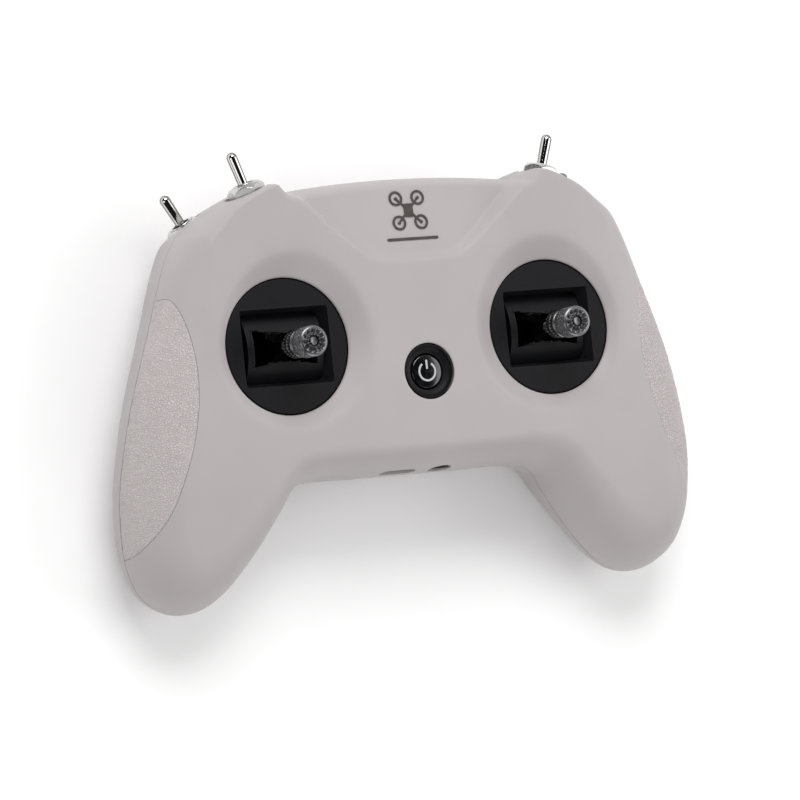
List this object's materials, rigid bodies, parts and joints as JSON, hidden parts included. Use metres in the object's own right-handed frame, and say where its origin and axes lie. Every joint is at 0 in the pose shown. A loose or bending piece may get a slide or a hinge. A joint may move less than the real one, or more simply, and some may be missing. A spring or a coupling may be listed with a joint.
{
  "type": "radio transmitter",
  "caption": "Gamepad-style radio transmitter with two stick gimbals, four toggle switches, a power button and textured grip inlays.",
  "frame": {"origin": "on the flat rest face of the back, in the middle between the two stick axes", "axes": "+Z out of the face along the sticks, +Y towards the toggle switches, +X to the user's right"},
  "size_m": [0.1604, 0.1114, 0.0444],
  "materials": {
    "shell": "fine satin moulding",
    "grip": "pebble-grained moulding",
    "black_plastic": "satin moulding",
    "black_gloss": "polished",
    "grey_plastic": "plain moulding",
    "knurled_alloy": "bead blasted and knurled",
    "chrome": "polished plating",
    "nickel": "satin nickel plating",
    "steel": "plain steel",
    "circuit_board": "solder mask",
    "battery_wrap": "shrink film"
  },
  "bodies": {
    "housing": {"front_shell": "shell", "back_shell": "shell", "left_grip_inlay": "grip", "right_grip_inlay": "grip", "emblem": "nickel", "power_button_rim": "black_plastic", "power_switch": "steel", "main_board": "circuit_board", "usb_port": "steel", "trainer_jack": "black_plastic", "radio_shield_can": "steel", "buzzer": "black_plastic", "antenna": "circuit_board", "battery_pack": "battery_wrap", "case_screw_1": "steel", "case_screw_2": "steel", "case_screw_3": "steel", "case_screw_4": "steel", "case_screw_5": "steel", "case_screw_6": "steel", "left_gimbal_face_plate": "black_plastic", "left_gimbal_frame": "black_plastic", "left_pitch_sensor": "grey_plastic", "left_roll_sensor": "grey_plastic", "right_gimbal_face_plate": "black_plastic", "right_gimbal_frame": "black_plastic", "right_pitch_sensor": "grey_plastic", "right_roll_sensor": "grey_plastic", "toggle_a_switch": "nickel", "toggle_a_nut": "nickel", "toggle_b_switch": "nickel", "toggle_b_nut": "nickel", "toggle_c_switch": "nickel", "toggle_c_nut": "nickel", "toggle_d_switch": "nickel", "toggle_d_nut": "nickel"},
    "left_drum": {"left_gimbal_drum": "black_plastic"},
    "left_stick": {"left_stick": "steel", "left_stick_end": "knurled_alloy"},
    "left_yoke": {"left_gimbal_yoke": "black_plastic"},
    "right_drum": {"right_gimbal_drum": "black_plastic"},
    "right_stick": {"right_stick": "steel", "right_stick_end": "knurled_alloy"},
    "right_yoke": {"right_gimbal_yoke": "black_plastic"},
    "toggle_a_lever": {"toggle_a_lever": "chrome"},
    "toggle_b_lever": {"toggle_b_lever": "chrome"},
    "toggle_c_lever": {"toggle_c_lever": "chrome"},
    "toggle_d_lever": {"toggle_d_lever": "chrome"},
    "power_button": {"power_button": "black_gloss"},
    "bind_button": {"bind_button": "black_plastic"}
  },
  "joints": [
    {"name": "left_stick_pitch", "type": "hinge", "parent": "housing", "child": "left_drum", "pos_m": [-0.0372, 0, 0.0167], "axis": [1, 0, 0], "range_deg": [-22, 22]},
    {"name": "left_stick_roll", "type": "hinge", "parent": "left_drum", "child": "left_stick", "pos_m": [-0.0372, 0, 0.0167], "axis": [0, 1, 0], "range_deg": [-22, 22]},
    {"name": "left_yoke_roll", "type": "hinge", "parent": "housing", "child": "left_yoke", "pos_m": [-0.0372, 0, 0.0167], "axis": [0, 1, 0], "range_deg": [-22, 22]},
    {"name": "right_stick_pitch", "type": "hinge", "parent": "housing", "child": "right_drum", "pos_m": [0.0372, 0, 0.0167], "axis": [1, 0, 0], "range_deg": [-22, 22]},
    {"name": "right_stick_roll", "type": "hinge", "parent": "right_drum", "child": "right_stick", "pos_m": [0.0372, 0, 0.0167], "axis": [0, 1, 0], "range_deg": [-22, 22]},
    {"name": "right_yoke_roll", "type": "hinge", "parent": "housing", "child": "right_yoke", "pos_m": [0.0372, 0, 0.0167], "axis": [0, 1, 0], "range_deg": [-22, 22]},
    {"name": "toggle_a_throw", "type": "hinge", "parent": "housing", "child": "toggle_a_lever", "pos_m": [-0.05178, 0.02946, 0.0128], "axis": [-0.8572, -0.515, 0], "range_deg": [-12, 12]},
    {"name": "toggle_b_throw", "type": "hinge", "parent": "housing", "child": "toggle_b_lever", "pos_m": [-0.04111, 0.03678, 0.026], "axis": [-0.9455, -0.3256, 0], "range_deg": [-12, 12]},
    {"name": "toggle_c_throw", "type": "hinge", "parent": "housing", "child": "toggle_c_lever", "pos_m": [0.04111, 0.03678, 0.026], "axis": [-0.9455, 0.3256, 0], "range_deg": [-12, 12]},
    {"name": "toggle_d_throw", "type": "hinge", "parent": "housing", "child": "toggle_d_lever", "pos_m": [0.05178, 0.02946, 0.0128], "axis": [-0.8572, 0.515, 0], "range_deg": [-24, 0]},
    {"name": "power_press", "type": "slide", "parent": "housing", "child": "power_button", "axis": [0, 0, -1], "range_m": [0, 0.0006]},
    {"name": "bind_press", "type": "slide", "parent": "housing", "child": "bind_button", "axis": [0, 0, 1], "range_m": [0, 0.0006]}
  ],
  "couplings": [
    {"joint": "left_yoke_roll", "follows": "left_stick_roll", "ratio": 1},
    {"joint": "right_yoke_roll", "follows": "right_stick_roll", "ratio": 1}
  ]
}
